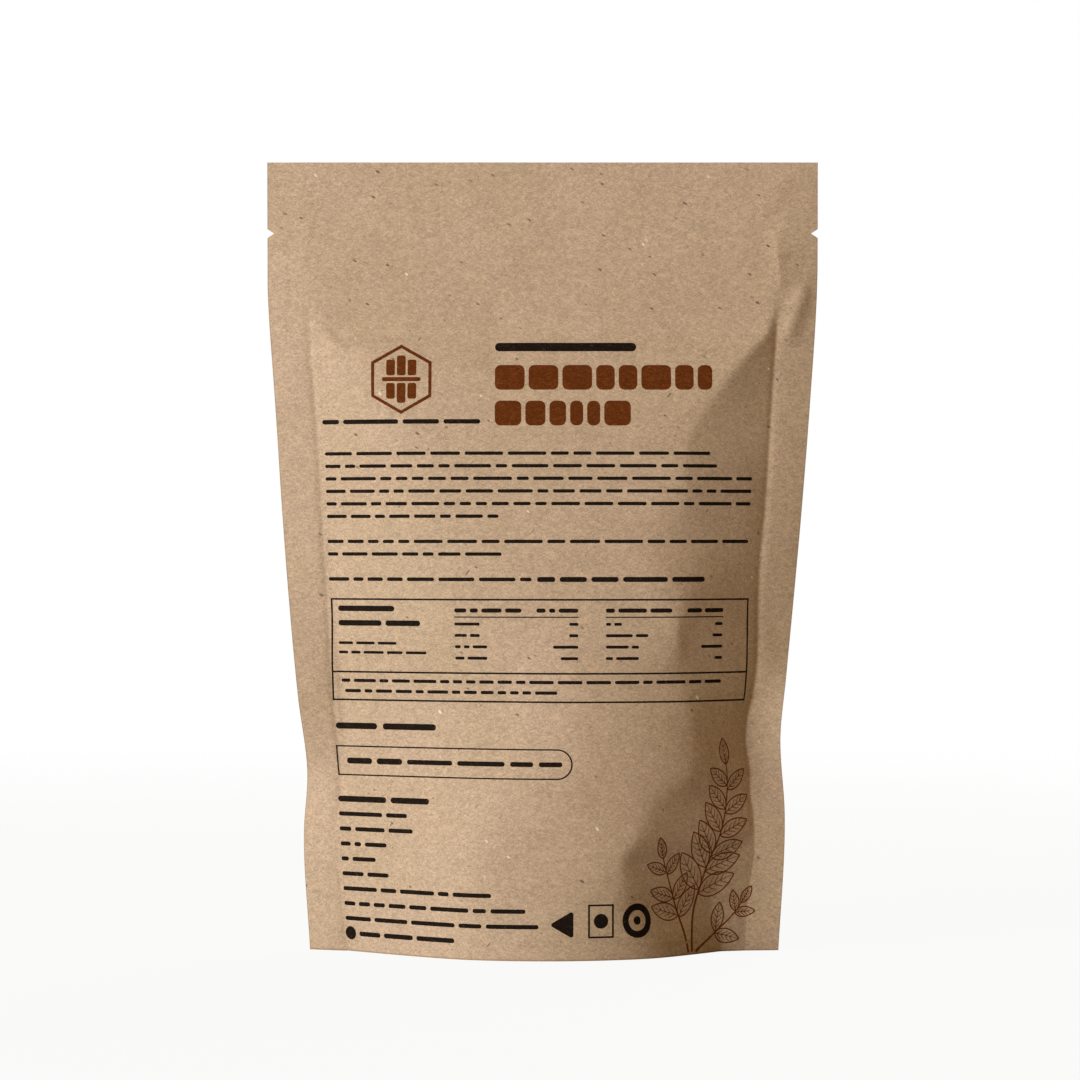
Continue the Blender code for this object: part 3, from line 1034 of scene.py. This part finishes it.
class KRAFT_OT_table(bpy.types.Operator):
    """Print the table with its frame, rules and value bars, and the round-ended frame"""
    bl_idname = "kraft_pouch.table"
    bl_label = "Table and Frames"

    def execute(self, context):
        def frames(bm, draw):
            left, right, low, rule, high = -64.2, 63.3, 73.0, 81.1, 102.2
            stroke(bm, ((left, low), (right, low), (right, high), (left, high)), 0.5, closed=True)
            stroke(bm, ((left, rule), (right, rule)), 0.5)
            left, low, high, end = -63.9, 51.2, 59.5, 4.2
            round_end = arc(end, (low + high) / 2.0, (high - low) / 2.0, range(-90, 91, 12))
            stroke(bm, (*round_end, (left, high), (left, low)), 0.4, closed=True)
            for left, right in ((-25.6, 10.3), (18.1, 54.6)):
                stroke(bm, ((left, 97.2), (right, 97.2)), 0.32)

        def values(bm, draw):
            word_lines(
                bm, draw, (-62.2, -44.0, 99.5, 1.6, 16.0), (-62.2, -36.0, 95.3, 1.6, 11.0),
                (-62.2, -43.6, 89.5, 0.8, 6.0, 1.0), (-62.2, -34.3, 86.8, 0.8, 5.0, 1.0))
            for left, right in ((-25.6, -6.1), (-1.8, 10.2), (18.1, 37.3), (42.0, 54.5)):
                word_line(bm, draw, left, right, 99.1, 1.2, 6.0, 1.0)
            for row in range(4):
                level = 95.2 - row * 3.26
                for left, right in ((-25.6, 10.2), (18.1, 54.4)):
                    label = draw.choice((4.6, 7.4, 9.5, 12.2))
                    value = draw.choice((2.6, 3.4, 5.0, 7.2))
                    word_line(bm, draw, left, left + label, level, 0.85, 5.0, 0.9)
                    bar(bm, right - value, right, level, 0.85)
            word_lines(
                bm, draw, (-61.6, 54.2, 78.6, 0.95, 6.0, 1.1), (-60.6, 4.2, 75.6, 0.95, 6.0, 1.1))

        lay_marks("table_frames", frames, "black_ink")
        lay_marks("table_values", values, "black_ink")
        return {'FINISHED'}


class KRAFT_OT_emblem(bpy.types.Operator):
    """Print a plain emblem: a six-sided frame round three upright quills"""
    bl_idname = "kraft_pouch.emblem"
    bl_label = "Emblem"

    def execute(self, context):
        def emblem(bm, draw):
            x, z = -40.9, 165.8
            stroke(bm, arc(x, z, 9.6, range(90, -270, -60)), 0.9, closed=True)
            for shift, tall in ((-3.1, 4.6), (0.0, 5.8), (3.1, 4.6)):
                for side in (-1, 1):
                    level = z + side * (1.1 + tall / 2.0)
                    bar(bm, x + shift - 1.25, x + shift + 1.25, level, tall, 0.6)
            bar(bm, x - 5.6, x + 5.6, z, 1.2)

        lay_marks("emblem", emblem, "brown_ink")
        return {'FINISHED'}


class KRAFT_OT_pictograms(bpy.types.Operator):
    """Print three plain signs: a triangle, a boxed disc and a ring with a dot"""
    bl_idname = "kraft_pouch.pictograms"
    bl_label = "Signs"

    def execute(self, context):
        def signs(bm, draw):
            disc(bm, 6.4, 10.2, radius=4.6, corners=3, turn=90.0, rounding=1.2)
            stroke(bm, ((13.2, 6.6), (20.2, 6.6), (20.2, 15.6), (13.2, 15.6)), 0.5, closed=True)
            disc(bm, 16.7, 11.1, radius=2.1)
            stroke(bm, arc(28.0, 10.9, 3.9, range(0, 360, 15)), 1.9, closed=True)
            disc(bm, 28.0, 10.9, radius=1.2)

        lay_marks("signs", signs, "black_ink")
        return {'FINISHED'}


class KRAFT_OT_sprig(bpy.types.Operator):
    """Print a line drawing of three leafy twigs in the lower right corner"""
    bl_idname = "kraft_pouch.sprig"
    bl_label = "Leaf Drawing"

    def execute(self, context):
        lay_marks("leaf_drawing", draw_twigs, "line_ink")
        return {'FINISHED'}


def curve(points, count):
    """Points along a Bezier curve of any degree."""
    made = []
    for step in range(count + 1):
        t = step / count
        row = [Vector(point) for point in points]
        while len(row) > 1:
            row = [a.lerp(b, t) for a, b in zip(row, row[1:])]
        made.append(row[0])
    return made


def leaf(bm, base, turn, length, width):
    """Pointed leaf: its outline, a midrib and side veins."""
    ahead = Vector((math.cos(turn), math.sin(turn)))
    aside = Vector((-ahead.y, ahead.x))

    def at(along, across):
        return base + ahead * along * length + aside * across * width

    for side in (-1, 1):
        margin = (at(0, 0), at(0.25, side * 0.75), at(0.7, side * 0.6), at(1, 0))
        stroke(bm, curve(margin, 12), MARGIN)
    stroke(bm, curve((at(0, 0), at(0.5, 0.04), at(0.93, 0)), 6), MIDRIB, taper=0.4)
    for number in range(4):
        along = 0.14 + 0.17 * number
        for side in (-1, 1):
            vein = (at(along, 0), at(along + 0.08, side * 0.20), at(along + 0.20, side * 0.32))
            stroke(bm, curve(vein, 4), VEIN, taper=0.5)


def twig(bm, points, pairs, first, longest, spread):
    """Curved stem with pairs of leaves that shorten towards its tip."""
    stem = curve(points, STEM_STEPS)
    stroke(bm, stem, STEM, taper=0.4)
    for number in range(pairs):
        share = first + (LAST_PAIR - first) * number / (pairs - 1)
        index = int(share * STEM_STEPS)
        heading = stem[index + 1] - stem[index]
        turn = math.atan2(heading.y, heading.x)
        length = longest * (1.0 - 0.5 * share)
        for side in (-1, 1):
            base = stem[index] + heading * (0.5 if side > 0 else 0.0)
            leaf(bm, base, turn + side * math.radians(spread), length, length * LEAF_WIDTH)
    tip = stem[-1] - stem[-2]
    leaf(bm, stem[-1], math.atan2(tip.y, tip.x), longest * 0.5, longest * 0.22)


def draw_twigs(bm, draw):
    """A tall twig and two short ones from the same foot."""
    tall = ((48.0, 0.8), (46.5, 22.0), (61.5, 34.0), (57.0, 54.5))
    left = ((46.5, 0.8), (44.5, 10.0), (41.0, 15.0), (37.0, 28.0))
    right = ((49.5, 0.8), (54.0, 4.0), (60.0, 6.0), (65.0, 14.0))
    twig(bm, tall, pairs=6, first=0.30, longest=15.5, spread=50.0)
    twig(bm, left, pairs=3, first=0.42, longest=13.0, spread=52.0)
    twig(bm, right, pairs=2, first=0.50, longest=11.5, spread=50.0)


class KRAFT_OT_stage(bpy.types.Operator):
    """Set up the floor, the lights, the room and the camera"""
    bl_idname = "kraft_pouch.stage"
    bl_label = "Stage"

    def execute(self, context):
        scene = context.scene
        settings = scene.kraft_stage
        centre = Vector((0.0, 0.0, scene.kraft_sizes.height / 2.0))

        bm = bmesh.new()
        bmesh.ops.create_circle(bm, cap_ends=True, radius=FLOOR_RADIUS, segments=64)
        floor = add_piece("stage_floor", bm, stage_floor())

        azimuth, elevation = settings.key_azimuth, settings.key_elevation
        away = Vector((
            -math.sin(azimuth) * math.cos(elevation),
            -math.cos(azimuth) * math.cos(elevation),
            math.sin(elevation)))
        add_light(
            "key_light", centre, away * settings.key_distance, settings.key_size,
            settings.key_power, KEY_TINT)
        add_light(
            "back_light", centre, Vector(BACK_PLACE), settings.back_size,
            settings.back_power, WHITE[:3])

        world = bpy.data.worlds.new("room")
        world.use_nodes = True
        tree = world.node_tree
        background = tree.nodes["Background"]
        path = tree.nodes.new('ShaderNodeLightPath')
        seen = Shade(tree, path.outputs['Is Camera Ray'])
        fill = seen.node('ShaderNodeCombineColor', None, dict(enumerate(settings.fill)))
        room = fill.mixed(WHITE, seen)
        tree.links.new(room.socket, background.inputs['Color'])
        scene.world = world

        data = bpy.data.cameras.new("camera")
        data.sensor_width = SENSOR_WIDTH
        data.lens = data.sensor_width * settings.camera_distance / settings.view_width
        camera = bpy.data.objects.new("camera", data)
        camera.location = (
            settings.camera_offset, -settings.camera_distance, settings.camera_height)
        camera.rotation_euler = (math.radians(90.0), 0.0, 0.0)
        scene.collection.objects.link(camera)
        scene.camera = camera
        scene.view_settings.view_transform = 'Standard'
        return {'FINISHED'}


def add_light(name, target, away, size, power, colour):
    """Square soft light that faces the target."""
    data = bpy.data.lights.new(name, 'AREA')
    data.size = size
    data.energy = power
    data.color = colour
    lamp = bpy.data.objects.new(name, data)
    lamp.location = target + away
    lamp.rotation_euler = away.to_track_quat('Z', 'Y').to_euler()
    bpy.context.scene.collection.objects.link(lamp)


class KRAFT_PT_pouch(bpy.types.Panel):
    """Steps that build the pouch, in order"""
    bl_label = "Kraft Pouch"
    bl_idname = "KRAFT_PT_pouch"
    bl_space_type = 'VIEW_3D'
    bl_region_type = 'UI'
    bl_category = "Kraft Pouch"

    def draw(self, context):
        for step in STEPS:
            self.layout.operator(step.bl_idname)


STEPS = (
    KRAFT_OT_stage,
    KRAFT_OT_paper,
    KRAFT_OT_title,
    KRAFT_OT_text,
    KRAFT_OT_table,
    KRAFT_OT_emblem,
    KRAFT_OT_pictograms,
    KRAFT_OT_sprig,
)
GROUPS = (
    ("kraft_sizes", PouchSizes),
    ("kraft_print", PrintSizes),
    ("kraft_colours", PouchColours),
    ("kraft_stage", StageSettings),
)


def register():
    for name, group in GROUPS:
        bpy.utils.register_class(group)
        setattr(bpy.types.Scene, name, PointerProperty(type=group))
    for item in (*STEPS, KRAFT_PT_pouch):
        bpy.utils.register_class(item)


def unregister():
    for item in (KRAFT_PT_pouch, *reversed(STEPS)):
        bpy.utils.unregister_class(item)
    for name, group in reversed(GROUPS):
        delattr(bpy.types.Scene, name)
        bpy.utils.unregister_class(group)


def main():
    register()
    for step in STEPS:
        group, name = step.bl_idname.split(".")
        getattr(getattr(bpy.ops, group), name)()


if __name__ == "__main__":
    main()
